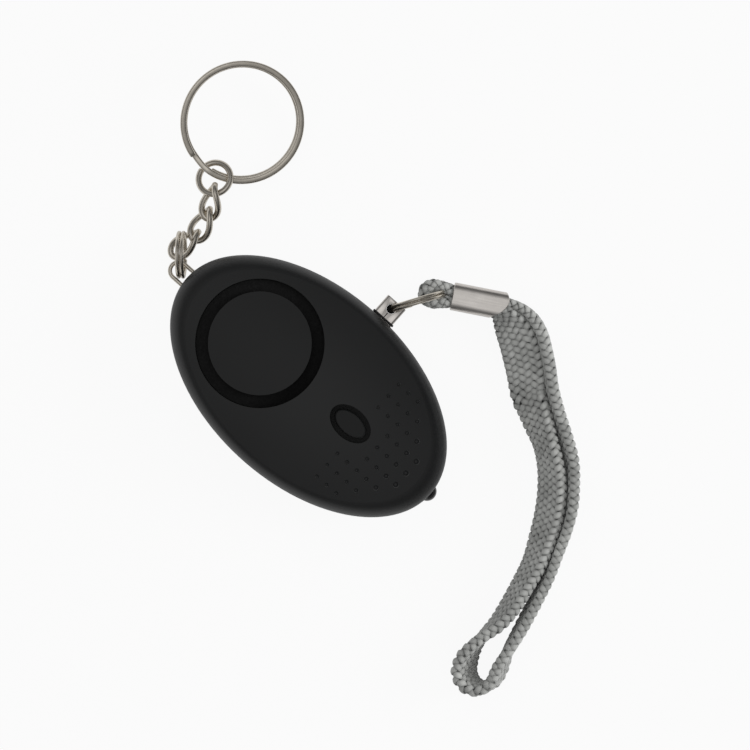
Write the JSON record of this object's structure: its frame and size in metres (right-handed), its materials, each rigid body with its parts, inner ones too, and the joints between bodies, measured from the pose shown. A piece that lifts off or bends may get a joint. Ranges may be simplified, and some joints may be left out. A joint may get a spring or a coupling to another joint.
{
  "type": "personal safety alarm",
  "caption": "Oval black personal safety alarm with a siren and a light, on a chain with a key ring, with a grey braided wrist strap on its pull pin.",
  "frame": {"origin": "middle of the casing's flat back, on the surface it lies on", "axes": "+X along the casing to the light, +Y across it to the pull pin, +Z out of the domed front"},
  "size_m": [0.126, 0.0686, 0.016],
  "materials": {
    "shell_black": "satin black moulded plastic with fine dust",
    "inner_black": "black moulded plastic",
    "inner_ivory": "ivory moulded plastic",
    "light_smoke": "smoked clear lens",
    "contact_brass": "rolled brass sheet",
    "sounder_ceramic": "fired ceramic with a silvered face",
    "gasket_foam": "closed-cell foam",
    "lead_red": "insulated wire",
    "board_green": "solder-masked laminate",
    "coil_copper": "enamelled copper winding",
    "can_aluminium": "drawn can",
    "cell_steel": "bright nickel-plated steel",
    "plated_steel": "warm nickel plate, a little worn",
    "strap_braid": "grey tubular polyester braid"
  },
  "bodies": {
    "casing": {"front_shell": "shell_black", "rear_shell": "shell_black", "siren_cap": "shell_black", "push_switch": "inner_black", "driver_chip": "inner_black", "cell_tray": "inner_black", "light_led": "light_smoke", "piezo_plate": "contact_brass", "pin_contact_upper": "contact_brass", "pin_contact_lower": "contact_brass", "piezo_ceramic": "sounder_ceramic", "piezo_gasket": "gasket_foam", "piezo_leads": "lead_red", "circuit_board": "board_green", "boost_coil": "coil_copper", "capacitor": "can_aluminium", "button_cells": "cell_steel", "cell_straps": "cell_steel", "cell_springs": "cell_steel", "casing_screws": "cell_steel", "board_screws": "cell_steel", "bail": "plated_steel"},
    "button": {"light_button": "shell_black", "switch_plunger": "inner_ivory"},
    "pin": {"pin_sleeve": "plated_steel", "pin_blade": "inner_black"},
    "pin_ring": {"pin_ring": "plated_steel"},
    "strap": {"strap_ferrule": "plated_steel", "strap_eye": "strap_braid", "strap_loop": "strap_braid"},
    "bail_ring": {"bail_ring": "plated_steel"},
    "link_1": {"chain_link_1": "plated_steel"},
    "link_2": {"chain_link_2": "plated_steel"},
    "link_3": {"chain_link_3": "plated_steel"},
    "jump_ring": {"jump_ring": "plated_steel"},
    "key_ring": {"key_ring": "plated_steel"}
  },
  "joints": [
    {"name": "light_press", "type": "slide", "parent": "casing", "child": "button", "axis": [0, 0, -1], "range_m": [0, 0.0004], "stiffness_N_per_m": 2000, "springref_m": -0.0004},
    {"name": "pin_pull", "type": "slide", "parent": "casing", "child": "pin", "axis": [0, 1, 0], "range_m": [0, 0.014]},
    {"name": "pin_ring_swing", "type": "hinge", "parent": "pin", "child": "pin_ring", "pos_m": [0.0021, 0.02251, 0.007], "axis": [0, 0, 1], "range_deg": [-10, 30]},
    {"name": "strap_swing", "type": "hinge", "parent": "pin_ring", "child": "strap", "pos_m": [0.00791, 0.03181, 0.0056], "axis": [0, 0, 1], "range_deg": [-10, 30]},
    {"name": "bail_ring_swing", "type": "hinge", "parent": "casing", "child": "bail_ring", "pos_m": [-0.0342, -0.0013, 0.0068], "axis": [0, 0, 1], "range_deg": [-12, 12]},
    {"name": "link_1_swing", "type": "hinge", "parent": "bail_ring", "child": "link_1", "pos_m": [-0.0389, 0.0045, 0.0014], "axis": [0, 0, 1], "range_deg": [-12, 10]},
    {"name": "link_2_swing", "type": "hinge", "parent": "link_1", "child": "link_2", "pos_m": [-0.0369, 0.0068, 0.003], "axis": [0, 0, 1], "range_deg": [-8, 10]},
    {"name": "link_3_swing", "type": "hinge", "parent": "link_2", "child": "link_3", "pos_m": [-0.0373, 0.0128, 0.0036], "axis": [0, 0, 1], "range_deg": [-10, 12]},
    {"name": "jump_ring_swing", "type": "hinge", "parent": "link_3", "child": "jump_ring", "pos_m": [-0.0396, 0.0165, 0.0049], "axis": [0, 0, 1], "range_deg": [-15, 15]},
    {"name": "key_ring_swing", "type": "hinge", "parent": "jump_ring", "child": "key_ring", "pos_m": [-0.0402, 0.0207, 0.0035], "axis": [0, 0, 1], "range_deg": [-5, 10]}
  ]
}
